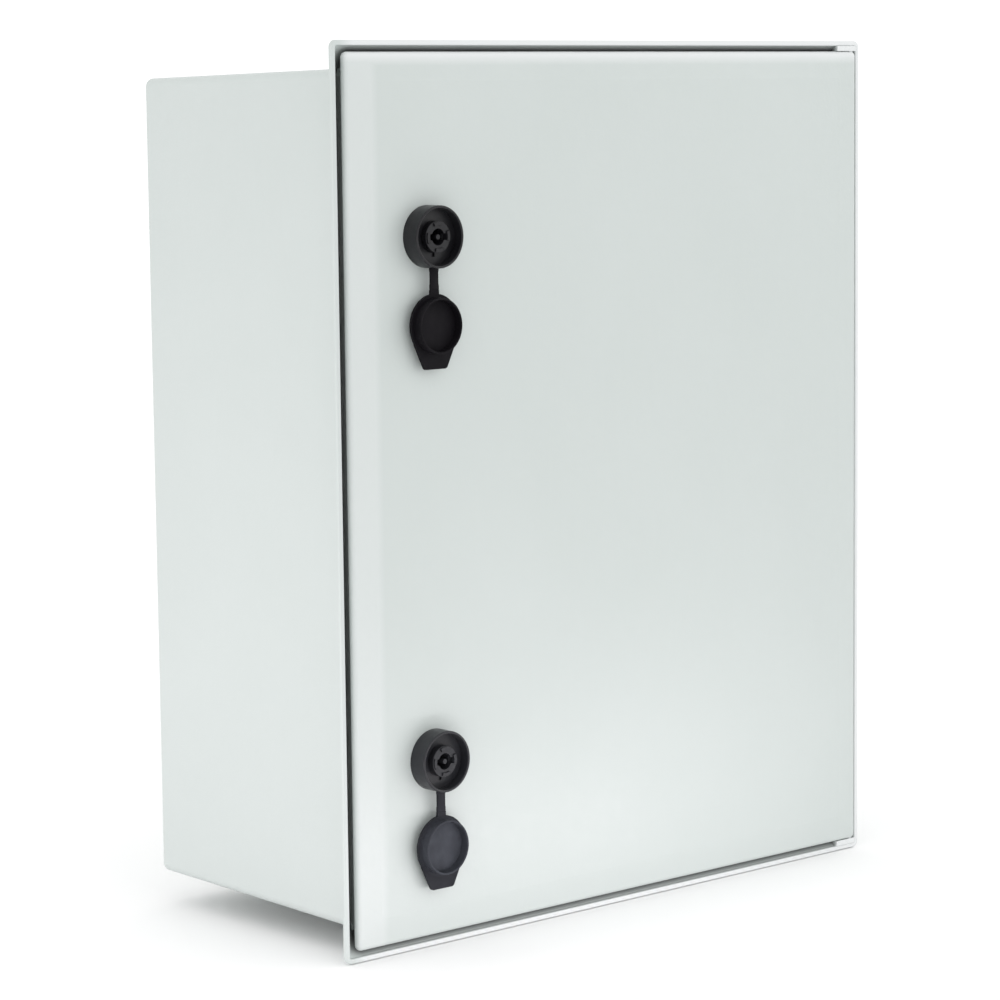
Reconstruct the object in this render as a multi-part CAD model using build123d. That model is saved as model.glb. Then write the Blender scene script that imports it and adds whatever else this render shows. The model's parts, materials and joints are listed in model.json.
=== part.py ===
"""Wall-mounted moulded polyester cabinet for a traffic signal controller, in millimetres.

The origin is the centre of the back face, where the wall is. +X is to the right seen from the
front, +Y points into the wall, +Z is up. A depth is a distance from the wall, so y = -depth.
"""
import os
from math import cos, radians

from build123d import *

# Moulded body
cabinet_width = 500.0
cabinet_height = 600.0
cabinet_depth = 230.0
body_wall = 4.0
draft_width = 4.2
body_corner_radius = 6.0
back_edge_radius = 4.0
collar_overhang = 18.0
collar_straight = 3.0
flare_angle_degrees = 45.0
flare_wall = 2.5
collar_corner_radius = 5.0
rim_wall = 3.5
rim_edge_radius = 1.2
lip_setback = 8.5

# Wall fixing
fixing_inset_x = 22.8
fixing_inset_z = 27.8
fixing_hole_radius = 4.5
fixing_pad_radius = 12.0
fixing_pad_height = 3.0

# Mounting plate and what holds it
plate_margin_x = 37.8
plate_margin_z = 17.8
plate_sheet = 2.0
plate_corner_radius = 6.0
boss_inset = 20.0
boss_radius = 11.0
boss_height = 15.0
insert_radius = 4.5
insert_depth = 11.0
screw_radius = 3.0
screw_reach = 8.0
screw_head_radius = 5.5
screw_head_height = 3.6
washer_radius = 8.0
washer_sheet = 1.2
thread_clearance = 0.02
head_round_share = 0.3
socket_share = 0.4

# Door
seam_gap = 4.0
latch_gap = 6.5
hinge_gap = 1.0
door_proud = 1.0
door_edge_depth = 6.5
door_skin = 3.5
door_return_wall = 3.5
door_corner_radius = 3.6
door_room_radius = 1.0
door_edge_radius = 3.0
door_border = 19.0
door_rise = 1.2
gasket_width = 8.0
gasket_clearance = 0.2
gasket_rib = 3.0
gasket_rib_height = 5.0

# Door pivots
pivot_radius = 2.0
pivot_clearance = 0.05
pivot_cover = 2.5
pivot_boss_length = 6.5
pivot_boss_side = 4.5
pivot_block_reach = 20.0
pivot_block_clearance = 0.3

# Locks
lock_inset = 66.0
lock_end_inset = 119.5
housing_radius = 20.5
housing_height = 13.5
housing_ring = 1.8
housing_shoulder = 0.8
cup_depth = 7.5
shank_radius = 11.0
shank_across_flats = 20.0
shank_length = 17.0
shank_clearance = 0.15
notch_width = 2.6
notch_height = 3.0
notch_depth = 1.4
notch_offset = 11.6
seal_radius = 16.0
seal_sheet = 1.2
nut_across_flats = 27.0
nut_height = 6.0
turning_clearance = 0.05
end_clearance = 0.4
spindle_radius = 7.0
key_head_radius = 10.5
key_head_setback = 2.3
key_head_edge_radius = 0.46
keyhole_radius = 5.5
keyhole_depth = 13.0
key_pin_radius = 1.65
bit_span = 14.5
bit_height = 4.2
bit_depth = 3.0
shoulder_depth = 28.0
tang_width = 10.0
tang_play = 0.1
cam_sheet = 3.0
cam_width = 22.0
cam_reach = 38.0
cam_screw_radius = 3.0
cam_screw_reach = 9.0
cam_screw_head_radius = 7.5
cam_screw_head_height = 4.0

# Catches on the left wall
catch_sheet = 2.0
catch_clearance = 0.5
catch_hook_reach = 17.0
catch_height = 34.0
catch_length = 36.0
catch_tip_room = 2.0
catch_screw_radius = 2.0
catch_screw_head_radius = 4.0
catch_screw_head_height = 2.2
catch_screw_reach = 8.0
catch_screw_spacing = 20.0
catch_screw_setback = 22.0
catch_pad_margin = 4.0

# Dust caps, hanging open below their locks
cap_drop = 57.8
cap_standoff = 5.5
cap_flange_radius = 20.8
cap_flange_sheet = 2.0
cap_rim_radius = 18.3
cap_rim_wall = 1.3
cap_rim_edge_radius = 0.43
cap_rim_height = 6.1
cap_tab_width = 35.0
cap_tab_end_width = 19.0
cap_tab_length = 7.7
cap_tab_root_drop = 12.0
cap_tab_corner = 2.5
strap_width = 7.0
strap_root = 1.4
strap_lug = 2.5

# Rails and what sits on them
rail_end_margin = 20.0
rail_height = 35.0
rail_crown = 25.0
rail_depth = 7.5
rail_sheet = 1.0
rail_screw_inset = 20.0
upper_row_inset = 23.5
rail_screw_head_radius = 4.5
rail_screw_head_height = 2.4
rail_screw_radius = 2.0
module_height = 84.0
module_body_depth = 44.0
module_nose_height = 45.0
module_nose_depth = 16.0
module_back_overlap = 4.0
module_rail_play = 0.4
module_gap = 1.5
module_edge_radius = 1.0
breaker_width = 35.0
arrester_width = 36.0
cartridge_margin = 2.5
cartridge_depth = 9.0
cartridge_play = 0.15
supply_width = 90.0
supply_depth = 100.0
supply_height = 124.0
supply_edge_radius = 2.0
supply_vent_width = 2.5
supply_vent_length = 40.0
supply_vent_depth = 2.0
supply_vent_pitch = 7.0
supply_vent_count = 9
controller_width = 126.0
controller_height = 130.0
controller_depth = 74.0
controller_edge_radius = 2.5
controller_cover_sheet = 3.0
controller_cover_margin = 3.0
display_width = 62.0
display_height = 24.0
display_rise = 40.0
display_recess = 1.2
key_radius = 6.0
key_height = 4.0
key_travel = 1.2
key_clearance = 0.3
key_pitch = 24.0
key_drop = 22.0
key_well_depth = 6.0
key_room = 0.3
key_edge_radius = 0.9
driver_width = 45.0
driver_height = 110.0
driver_depth = 86.0
driver_edge_radius = 1.5
driver_plug_width = 30.0
driver_plug_height = 18.0
driver_plug_depth = 9.0
driver_plug_inset = 8.0
lamp_radius = 2.0
lamp_height = 1.6
lamp_pitch = 9.0
terminal_pitch = 8.0
terminal_end_room = 40.0
terminal_height = 62.0
terminal_depth = 40.0
terminal_top_height = 30.0
terminal_entry_width = 3.6
terminal_entry_height = 3.6
terminal_entry_depth = 5.0
stop_width = 10.0
stop_height = 50.0
stop_depth = 36.0
earth_bar_length = 200.0
earth_bar_width = 12.0
earth_bar_sheet = 6.0
earth_post_radius = 7.0
earth_post_height = 20.0
earth_post_spacing = 170.0
earth_screw_radius = 2.5
earth_screw_head_radius = 4.5
earth_screw_head_height = 3.5
earth_screw_count = 8
lever_width = 26.0
lever_radius = 6.0
lever_length = 9.0
lever_tip_radius = 2.5
lever_well_margin = 0.5
lever_pin_radius = 2.0
lever_throw_degrees = 70.0
overrun = 1.0
flatness_share = 1e-6

# Places worked out from the sizes above
half_height = cabinet_height / 2
collar_back = cabinet_depth - collar_straight
flare_back = collar_back - collar_overhang
lip_front = cabinet_depth - lip_setback
mouth_width = cabinet_width - 2 * collar_overhang
mouth_height = cabinet_height - 2 * collar_overhang
inside_width = mouth_width - 2 * body_wall
inside_height = mouth_height - 2 * body_wall
gutter_width = cabinet_width - 2 * rim_wall
gutter_height = cabinet_height - 2 * rim_wall
wall_along_flare = flare_wall / cos(radians(flare_angle_degrees))
gutter_root = flare_back + wall_along_flare
gutter_top = gutter_root + collar_overhang - rim_wall
door_left = latch_gap - gutter_width / 2
door_right = gutter_width / 2 - hinge_gap
door_width = door_right - door_left
door_centre_x = (door_left + door_right) / 2
door_height = gutter_height - 2 * seam_gap
door_front = cabinet_depth + door_proud
door_back = door_front - door_edge_depth
door_face = door_front + door_rise
door_inside = door_face - door_skin
pivot_x = door_right - door_edge_depth / 2
pivot_depth = door_back + door_edge_depth / 2
back_width = mouth_width - 2 * draft_width
back_height = mouth_height - 2 * draft_width
fixing_spacing_x = back_width - 2 * fixing_inset_x
fixing_spacing_z = back_height - 2 * fixing_inset_z
plate_width = back_width - 2 * plate_margin_x
plate_height = back_height - 2 * plate_margin_z
boss_spacing_x = plate_width - 2 * boss_inset
boss_spacing_z = plate_height - 2 * boss_inset
rail_length = plate_width - 2 * rail_end_margin
rail_screw_spacing = rail_length - 2 * rail_screw_inset
terminal_count = int((rail_length - 2 * (stop_width + terminal_end_room)) / terminal_pitch)
row_heights = (supply_height, controller_height, terminal_height, 2 * earth_post_radius)
row_gap = (plate_height - sum(row_heights)) / (len(row_heights) + 1)
row_levels = [
    plate_height / 2 - row_gap * (row + 1) - sum(row_heights[:row]) - height / 2
    for row, height in enumerate(row_heights)
]
rail_level_upper, rail_level_middle, rail_level_lower, earth_level = row_levels
plate_back = body_wall + boss_height
plate_front = plate_back + plate_sheet
rail_front = plate_front + rail_depth
lock_x = door_left + lock_inset
lock_height = door_height / 2 - lock_end_inset
housing_front = door_face + housing_height
cup_floor = housing_front - cup_depth
shank_back = door_face - shank_length
cam_front = door_face - shoulder_depth
cam_back = cam_front - cam_sheet
key_head_front = housing_front - key_head_setback
key_head_back = cup_floor + end_clearance
hook_back = cam_front + catch_clearance
hook_front = hook_back + catch_sheet
catch_face_x = lock_x - cam_reach - catch_tip_room - catch_sheet
cap_back = door_face + cap_standoff
cap_floor = cap_back + cap_flange_sheet
cap_rim_front = cap_floor + cap_rim_height
module_back = rail_front - module_back_overlap


def facing(depth):
    """Plane at a depth from the wall, looking out of the front: local x is X, local y is Z."""
    return Plane(origin=(0, -depth, 0), x_dir=(1, 0, 0), z_dir=(0, -1, 0))


def slab(sketch, back, front):
    """A sketch seen from the front, made solid between two depths."""
    return extrude(facing(back) * sketch, amount=front - back)


def disc(radius, back, front):
    return slab(Circle(radius), back, front)


def block(x_range, depth_range, z_range):
    width = x_range[1] - x_range[0]
    height = z_range[1] - z_range[0]
    centre = Pos(sum(x_range) / 2, sum(z_range) / 2)
    return slab(centre * Rectangle(width, height), *depth_range)


def frustum(back_size, front_size, radii, back, front):
    """Rounded rectangle at the back lofted to another at the front."""
    sections = [
        facing(back) * RectangleRounded(*back_size, radii[0]),
        facing(front) * RectangleRounded(*front_size, radii[1]),
    ]
    return loft(sections, ruled=True)


def grid(spacing_x, spacing_z):
    return [Pos(x, 0, z) for x in (-spacing_x / 2, spacing_x / 2) for z in (-spacing_z / 2, spacing_z / 2)]


def edges_at(part, depth):
    """Edges that lie wholly in the plane at one depth."""
    near = cabinet_depth * flatness_share

    def is_flat(edge):
        box = edge.bounding_box()
        return abs(box.min.Y + depth) < near and abs(box.max.Y + depth) < near

    return part.edges().filter_by(is_flat)


def upright(part, level):
    """A part at plus and at minus a level, as (upper, lower)."""
    return Pos(0, 0, level) * part, Pos(0, 0, -level) * part


def fixing_screw(head_radius, head_height, radius, reach, seat):
    """Screw facing the front: pan head on its seat, shank behind it, socket in the head."""
    head = disc(head_radius, seat, seat + head_height)
    head = fillet(edges_at(head, seat + head_height), head_height * head_round_share)
    hexagon = RegularPolygon(head_radius * socket_share, 6)
    socket = slab(hexagon, seat + head_height / 2, seat + head_height + overrun)
    return head - socket + disc(radius, seat - reach, seat)


def gutter_room():
    """The channel round the door, inside the collar, down to the sloping floor."""
    size = (gutter_width, gutter_height)
    radius = collar_corner_radius - rim_wall
    room = slab(RectangleRounded(*size, radius), gutter_top, cabinet_depth + overrun)
    mouth_size = (mouth_width, mouth_height)
    return room + frustum(mouth_size, size, (body_corner_radius, radius), gutter_root, gutter_top)


def cabinet_body():
    """Moulded shell: drafted tub, flared collar with its gutter, bosses, fixing pads and catch pads."""
    back_size = (back_width, back_height)
    mouth_size = (mouth_width, mouth_height)
    collar_size = (cabinet_width, cabinet_height)
    tub_radii = (body_corner_radius, body_corner_radius)
    flare_radii = (body_corner_radius, collar_corner_radius)
    tub = frustum(back_size, mouth_size, tub_radii, 0, flare_back)
    tub = fillet(edges_at(tub, 0), back_edge_radius)
    flare = frustum(mouth_size, collar_size, flare_radii, flare_back, collar_back)
    collar = slab(RectangleRounded(*collar_size, collar_corner_radius), collar_back, cabinet_depth)
    shell = tub + flare + collar

    lip = slab(RectangleRounded(*mouth_size, body_corner_radius), flare_back, lip_front)
    shell = shell - (gutter_room() - lip)

    inside_radius = body_corner_radius - body_wall
    taper_share = (flare_back - body_wall) / flare_back
    narrowing = 2 * draft_width * taper_share
    floor_size = (inside_width - narrowing, inside_height - narrowing)
    mouth_inside = (inside_width, inside_height)
    shell -= frustum(floor_size, mouth_inside, (inside_radius, inside_radius), body_wall, flare_back)
    shell -= slab(RectangleRounded(*mouth_inside, inside_radius), flare_back, lip_front + overrun)
    shell = fillet(edges_at(shell, cabinet_depth), rim_edge_radius)

    for place in grid(boss_spacing_x, boss_spacing_z):
        boss = disc(boss_radius, body_wall, plate_back)
        shell += place * boss
        shell -= place * disc(insert_radius, plate_back - insert_depth, plate_back + overrun)
    for place in grid(fixing_spacing_x, fixing_spacing_z):
        shell += place * disc(fixing_pad_radius, body_wall, body_wall + fixing_pad_height)
        shell -= place * disc(fixing_hole_radius, -overrun, body_wall + fixing_pad_height + overrun)

    pad_x = (-mouth_width / 2 + body_wall / 2, catch_face_x)
    pad_half_height = catch_height / 2 + catch_pad_margin
    pad_back = hook_front - catch_length - catch_pad_margin
    pad = block(pad_x, (pad_back, hook_front), (-pad_half_height, pad_half_height))
    for place in upright(pad - catch_screw_holes(), lock_height):
        shell += place
    for hole in upright(catch_screw_holes(), lock_height):
        shell -= hole
    for hole in pivot_pins(thread_clearance):
        shell -= hole
    return shell


def catch_screw_axis(z):
    """Plane on the catch plate, facing right, at one screw."""
    depth = hook_front - catch_screw_setback
    return Plane(origin=(catch_face_x + catch_sheet, -depth, z), x_dir=(0, 1, 0), z_dir=(1, 0, 0))


def catch_screw_holes():
    holes = []
    for z in (-catch_screw_spacing / 2, catch_screw_spacing / 2):
        bore = Circle(catch_screw_radius + thread_clearance)
        holes.append(extrude(catch_screw_axis(z) * bore, amount=-catch_screw_reach))
    return Compound(holes)


def catch():
    """Angle of folded sheet: base on the wall pad, hook that the cam goes behind."""
    half = catch_height / 2
    bend_x = catch_face_x + catch_sheet
    base = block((catch_face_x, bend_x), (hook_front - catch_length, hook_front), (-half, half))
    hook = block((catch_face_x, bend_x + catch_hook_reach), (hook_back, hook_front), (-half, half))
    return base + hook - catch_screw_holes()


def catch_screws():
    screws = []
    for z in (-catch_screw_spacing / 2, catch_screw_spacing / 2):
        plane = catch_screw_axis(z)
        head = extrude(plane * Circle(catch_screw_head_radius), amount=catch_screw_head_height)
        shank = extrude(plane * Circle(catch_screw_radius), amount=-catch_screw_reach)
        screws.append(head + shank)
    return screws


def pivot_pins(grow=0.0):
    """The two pivot pins, from a blind hole in the collar into the door's end, or grown for holes."""
    top = half_height - pivot_cover
    bottom = door_height / 2 - pivot_boss_length
    place = Pos(pivot_x, -pivot_depth, bottom)
    pin = place * extrude(Circle(pivot_radius + grow), amount=top - bottom)
    return pin, mirror(pin, about=Plane.XY)


def hinge_blocks():
    """Plastic blocks that fill the seam at the pivot corner and carry the pins."""
    right = gutter_width / 2
    low = door_height / 2 + pivot_block_clearance
    piece = block((right - pivot_block_reach, right), (gutter_root, cabinet_depth), (low, gutter_height / 2))
    piece &= gutter_room()
    holes = pivot_pins(thread_clearance)
    return piece - holes[0], mirror(piece, about=Plane.XY) - holes[1]


def mounting_plate():
    outline = RectangleRounded(plate_width, plate_height, plate_corner_radius)
    plate = slab(outline, plate_back, plate_front)
    boss_hole = disc(screw_radius + thread_clearance, plate_back - overrun, plate_front + overrun)
    for place in grid(boss_spacing_x, boss_spacing_z):
        plate -= place * boss_hole
    rail_hole = disc(rail_screw_radius + thread_clearance, plate_back, plate_front)
    for place in rail_screw_places():
        plate -= place * rail_hole
    return plate


def rail_screw_places():
    levels = (rail_level_upper, rail_level_middle, rail_level_lower)
    return [Pos(x, 0, z) for x in (-rail_screw_spacing / 2, rail_screw_spacing / 2) for z in levels]


def plate_inserts():
    foot = plate_back - insert_depth
    insert = disc(insert_radius - thread_clearance, foot, plate_back)
    insert -= disc(screw_radius + thread_clearance, foot + overrun, plate_back + overrun)
    return [place * insert for place in grid(boss_spacing_x, boss_spacing_z)]


def plate_screws():
    seat = plate_front + washer_sheet
    reach = screw_reach + washer_sheet
    screw = fixing_screw(screw_head_radius, screw_head_height, screw_radius, reach, seat)
    screw += disc(washer_radius, plate_front, seat)
    return [place * screw for place in grid(boss_spacing_x, boss_spacing_z)]


def door_outside():
    """Outline of the door with its sloping border; its edges are rounded about the pivot axis."""
    size = (door_width, door_height)
    inner = (door_width - 2 * door_border, door_height - 2 * door_border)
    radii = (door_corner_radius, door_edge_radius)
    outside = slab(RectangleRounded(*size, door_corner_radius), door_back, door_front)
    outside += frustum(size, inner, radii, door_front, door_face)
    rounded = edges_at(outside, door_front) + edges_at(outside, door_back)
    return Pos(door_centre_x, 0, 0) * fillet(rounded, door_edge_radius)


def lock_holes():
    outline = shank_sketch(shank_clearance)
    hole = Pos(lock_x, 0, 0) * slab(outline, door_back - overrun, door_face + overrun)
    return upright(hole, lock_height)


def door_panel():
    panel = door_outside()
    room = (door_width - 2 * door_return_wall, door_height - 2 * door_return_wall)
    pocket = slab(RectangleRounded(*room, door_room_radius), door_back - overrun, door_inside)
    panel -= Pos(door_centre_x, 0, 0) * pocket

    seal_line = (mouth_width - body_wall, mouth_height - body_wall)
    rib_out = [size - gasket_width for size in seal_line]
    rib_in = [size - 2 * gasket_rib for size in rib_out]
    rib_sketch = RectangleRounded(*rib_out, gasket_rib) - Rectangle(*rib_in)
    panel += slab(rib_sketch, door_inside - gasket_rib_height, door_inside)

    boss_x = (pivot_x - pivot_boss_side, door_right)
    boss_z = (door_height / 2 - pivot_boss_length, door_height / 2)
    boss = door_outside() & block(boss_x, (door_back, door_front), boss_z)
    panel += boss
    panel += mirror(boss, about=Plane.XY)
    for hole in pivot_pins(pivot_clearance):
        panel -= hole
    for hole in lock_holes():
        panel -= hole
    return panel


def door_gasket():
    back = lip_front + gasket_clearance
    seal_line = (mouth_width - body_wall, mouth_height - body_wall)
    outside = [size + gasket_width for size in seal_line]
    inside = [size - gasket_width for size in seal_line]
    ring = RectangleRounded(*outside, gasket_width) - RectangleRounded(*inside, gasket_rib)
    return slab(ring, back, door_inside)


def shank_sketch(grow=0.0):
    return Circle(shank_radius + grow) & Rectangle(shank_across_flats + 2 * grow, 2 * housing_radius)


def lock_housing():
    """Cup on the door's face, with a flatted shank through the door and a bore for the spindle."""
    cup = disc(housing_radius, door_face, housing_front)
    cup -= disc(housing_radius - housing_ring, cup_floor, housing_front + overrun)
    cup = fillet(edges_at(cup, housing_front), housing_shoulder)
    cup += slab(shank_sketch(), shank_back, door_face)
    cup -= disc(spindle_radius + turning_clearance, shank_back - overrun, housing_front + overrun)
    notch = Pos(0, -notch_offset) * Rectangle(notch_width, notch_height)
    cup -= slab(notch, cup_floor - notch_depth, cup_floor + overrun)
    cup -= lock_seal()
    pocket_z = (-housing_radius - overrun, -housing_radius + strap_root)
    cup -= block((-strap_width / 2, strap_width / 2), (cap_back, cap_floor), pocket_z)
    return cup


def lock_seal():
    return slab(Circle(seal_radius) - Circle(shank_radius), door_face, door_face + seal_sheet)


def lock_nut():
    hexagon = RegularPolygon(nut_across_flats / 2, 6, major_radius=False)
    nut = slab(hexagon - Circle(shank_radius + thread_clearance), door_inside - nut_height, door_inside)
    return nut


def lock_insert():
    """Key barrel: head with a double-bit keyhole, stem through the shank, square tang for the cam."""
    barrel = disc(key_head_radius, key_head_back, key_head_front)
    barrel = fillet(edges_at(barrel, key_head_front), key_head_edge_radius)
    barrel += disc(spindle_radius, cam_front, key_head_back)
    tang_side = tang_width - tang_play
    tang = Rectangle(tang_side, tang_side) & Circle(spindle_radius)
    barrel += slab(tang, cam_back + tang_play, cam_front)
    hole_back = key_head_front - keyhole_depth
    barrel -= slab(Circle(keyhole_radius), hole_back, key_head_front + overrun)
    barrel -= slab(Rectangle(bit_span, bit_height), key_head_front - bit_depth, key_head_front + overrun)
    barrel += disc(key_pin_radius, hole_back, key_head_front)
    bore_end = cam_back + cam_screw_reach + thread_clearance
    return barrel - disc(cam_screw_radius + thread_clearance, cam_back - overrun, bore_end)


def lock_cam():
    """Flat cam hanging down from the tang, with a rounded tip."""
    arm = Pos(0, -(cam_reach - cam_width / 2) / 2) * Rectangle(cam_width, cam_reach - cam_width / 2)
    outline = Circle(cam_width / 2) + arm + Pos(0, -(cam_reach - cam_width / 2)) * Circle(cam_width / 2)
    outline -= Rectangle(tang_width, tang_width) & Circle(spindle_radius + tang_play)
    return slab(outline, cam_back, cam_front)


def cam_screw():
    """Hexagon screw facing the back of the cabinet, clamping the cam on the tang."""
    head = slab(RegularPolygon(cam_screw_head_radius, 6), cam_back - cam_screw_head_height, cam_back)
    return head + disc(cam_screw_radius, cam_back, cam_back + cam_screw_reach)


def cap_strap():
    """Flat strap from its pocket in the housing down to the cap's lug."""
    top = -housing_radius + strap_root
    bottom = -cap_drop + cap_flange_radius + strap_lug
    return block((-strap_width / 2, strap_width / 2), (cap_back, cap_floor), (bottom, top))


def dust_cap():
    """Cap hanging open: flange towards the door, plug rim towards the front, finger tab at the bottom."""
    cap = disc(cap_flange_radius, cap_back, cap_floor)
    rim = Circle(cap_rim_radius) - Circle(cap_rim_radius - cap_rim_wall)
    cap += slab(rim, cap_floor, cap_rim_front)
    cap = fillet(edges_at(cap, cap_rim_front), cap_rim_edge_radius)
    lug_z = (0, cap_flange_radius + strap_lug)
    cap += block((-strap_width / 2, strap_width / 2), (cap_back, cap_floor), lug_z)
    tab_end = -cap_flange_radius - cap_tab_length
    tab_points = [
        (-cap_tab_width / 2, 0),
        (cap_tab_width / 2, 0),
        (cap_tab_width / 2, -cap_tab_root_drop),
        (cap_tab_end_width / 2, tab_end),
        (-cap_tab_end_width / 2, tab_end),
        (-cap_tab_width / 2, -cap_tab_root_drop),
    ]
    tab_sketch = make_face(Polyline(*tab_points, close=True))
    tab_sketch = fillet(tab_sketch.vertices().group_by(Axis.Y)[0], cap_tab_corner)
    cap += slab(tab_sketch, cap_back, cap_floor)
    return Pos(0, 0, -cap_drop) * cap


def din_rail(level):
    """Top-hat rail: the crown lies on the plate and the two flanges stand off from it."""
    half, crown = rail_height / 2, rail_crown / 2
    inside = plate_front + rail_sheet
    flange = rail_front - rail_sheet
    outline = [
        (-plate_front, -crown), (-flange, -crown), (-flange, -half), (-rail_front, -half),
        (-rail_front, -crown + rail_sheet), (-inside, -crown + rail_sheet),
        (-inside, crown - rail_sheet), (-rail_front, crown - rail_sheet),
        (-rail_front, half), (-flange, half), (-flange, crown), (-plate_front, crown),
    ]
    section = Plane.YZ.offset(-rail_length / 2) * make_face(Polyline(*outline, close=True))
    rail = extrude(section, amount=rail_length, dir=(1, 0, 0))
    for screw_x in (-rail_screw_spacing / 2, rail_screw_spacing / 2):
        rail -= Pos(screw_x, 0, 0) * disc(rail_screw_radius + thread_clearance, plate_front, inside)
    return Pos(0, 0, level) * rail


def rail_screws():
    seat = plate_front + rail_sheet
    reach = rail_sheet + plate_sheet
    screw = fixing_screw(rail_screw_head_radius, rail_screw_head_height, rail_screw_radius, reach, seat)
    return [place * screw for place in rail_screw_places()]


def rail_notch():
    """What a module leaves free at its back for the rail."""
    half = rail_height / 2 + module_rail_play
    return block((-rail_length, rail_length), (module_back - overrun, rail_front), (-half, half))


def rail_box(width, height, depth, radius):
    """Housing on the rail: its notch sits on the rail's front, its front edges are rounded."""
    housing = slab(Rectangle(width, height), module_back, module_back + depth)
    housing = fillet(edges_at(housing, module_back + depth), radius)
    return housing - rail_notch()


def modular_device(width):
    """Narrow modular device with the usual stepped front."""
    front = module_back + module_body_depth
    nose = front + module_nose_depth
    device = slab(Rectangle(width, module_height), module_back, front)
    device = fillet(edges_at(device, front), module_edge_radius)
    face = slab(Rectangle(width, module_nose_height), module_back, nose)
    return device + fillet(edges_at(face, nose), module_edge_radius) - rail_notch()


def breaker_pivot_depth():
    return module_back + module_body_depth + module_nose_depth - lever_radius / 2


def breaker_housing():
    """Breaker with a round well for its lever."""
    width = lever_width + 2 * lever_well_margin
    plane = Plane.YZ.offset(-width / 2)
    pivot = Pos(-breaker_pivot_depth(), 0)
    well = extrude(plane * pivot * Circle(lever_radius + lever_well_margin), amount=width)
    pin = extrude(plane * pivot * Circle(lever_pin_radius), amount=width)
    return modular_device(breaker_width) - well + pin


def breaker_lever():
    """Lever on its pin, thrown up to its switched-on end."""
    plane = Plane.YZ.offset(-lever_width / 2)
    pivot = Pos(-breaker_pivot_depth(), 0)
    hub = extrude(plane * pivot * Circle(lever_radius), amount=lever_width)
    stem_sketch = pivot * Pos(-lever_length / 2, 0) * Rectangle(lever_length, 2 * lever_tip_radius)
    tip_sketch = pivot * Pos(-lever_length, 0) * Circle(lever_tip_radius)
    stem = extrude(plane * (stem_sketch + tip_sketch), amount=lever_width)
    hole = extrude(plane * pivot * Circle(lever_pin_radius + turning_clearance), amount=lever_width)
    pivot_line = Axis((0, -breaker_pivot_depth(), 0), (1, 0, 0))
    return (hub + stem - hole).rotate(pivot_line, -lever_throw_degrees / 2)


def surge_arrester():
    device = modular_device(arrester_width)
    nose = module_back + module_body_depth + module_nose_depth
    size = (arrester_width - 2 * cartridge_margin, module_nose_height - 2 * cartridge_margin)
    return device - slab(Rectangle(*size), nose - cartridge_depth, nose + overrun)


def surge_cartridge():
    nose = module_back + module_body_depth + module_nose_depth
    size = (
        arrester_width - 2 * cartridge_margin - 2 * cartridge_play,
        module_nose_height - 2 * cartridge_margin - 2 * cartridge_play,
    )
    cartridge = slab(Rectangle(*size), nose - cartridge_depth, nose + cartridge_margin)
    return fillet(edges_at(cartridge, nose + cartridge_margin), module_edge_radius)


def power_supply():
    """Metal-cased supply with a row of vent slots in its front."""
    case = rail_box(supply_width, supply_height, supply_depth, supply_edge_radius)
    front = module_back + supply_depth
    start = -(supply_vent_count - 1) * supply_vent_pitch / 2
    for index in range(supply_vent_count):
        slot = SlotOverall(supply_vent_length, supply_vent_width, 90)
        slot_place = Pos(start + index * supply_vent_pitch, 0)
        case -= slab(slot_place * slot, front - supply_vent_depth, front + overrun)
    return case


def controller_front():
    return module_back + controller_depth


def controller_housing():
    """Controller base box, with wells behind the keys."""
    box = rail_box(controller_width, controller_height, controller_depth, controller_edge_radius)
    for x in (-key_pitch / 2, key_pitch / 2):
        foot = controller_front() - key_well_depth
        well = disc(key_radius + key_clearance, foot, controller_front() + overrun)
        box -= Pos(x, 0, -key_drop) * well
    return box


def controller_cover():
    """Front plate of the controller with a window and two key holes."""
    size = (controller_width - 2 * controller_cover_margin, controller_height - 2 * controller_cover_margin)
    front = controller_front() + controller_cover_sheet
    cover = slab(RectangleRounded(*size, controller_edge_radius), controller_front(), front)
    window = Pos(0, display_rise - display_height / 2) * Rectangle(display_width, display_height)
    cover -= slab(window, controller_front(), front + overrun)
    for x in (-key_pitch / 2, key_pitch / 2):
        cover -= Pos(x, 0, -key_drop) * disc(key_radius + key_clearance, controller_front(), front + overrun)
    return cover


def controller_display():
    window = Pos(0, display_rise - display_height / 2) * Rectangle(display_width, display_height)
    return slab(window, controller_front(), controller_front() + controller_cover_sheet - display_recess)


def controller_key():
    """Push key: its foot rides in the well, its crown stands out of the cover."""
    back = controller_front() - key_well_depth + key_travel + key_room
    front = controller_front() + controller_cover_sheet + key_height
    key = disc(key_radius, back, front)
    return Pos(0, 0, -key_drop) * fillet(edges_at(key, front), key_edge_radius)


def lamp_driver():
    """Plug-in lamp driver with a pluggable connector at the foot and the head of its front."""
    box = rail_box(driver_width, driver_height, driver_depth, driver_edge_radius)
    front = module_back + driver_depth
    for side in (-1, 1):
        centre = side * (driver_height / 2 - driver_plug_inset - driver_plug_height / 2)
        seat = Pos(0, centre) * Rectangle(driver_plug_width, driver_plug_height)
        box -= slab(seat, front - driver_plug_depth, front + overrun)
    return box


def driver_plugs():
    front = module_back + driver_depth
    plugs = []
    for side in (-1, 1):
        centre = side * (driver_height / 2 - driver_plug_inset - driver_plug_height / 2)
        outline = Rectangle(driver_plug_width - 2 * cartridge_play, driver_plug_height - 2 * cartridge_play)
        plug = slab(Pos(0, centre) * outline, front - driver_plug_depth, front + cartridge_margin)
        plugs.append(fillet(edges_at(plug, front + cartridge_margin), module_edge_radius))
    return plugs


def driver_lamps():
    """Three round indicator lenses on a driver's front."""
    front = module_back + driver_depth
    lens = disc(lamp_radius, front, front + lamp_height)
    lens = fillet(edges_at(lens, front + lamp_height), lamp_height / 2)
    return [Pos((index - 1) * lamp_pitch, 0, 0) * lens for index in range(3)]


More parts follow.
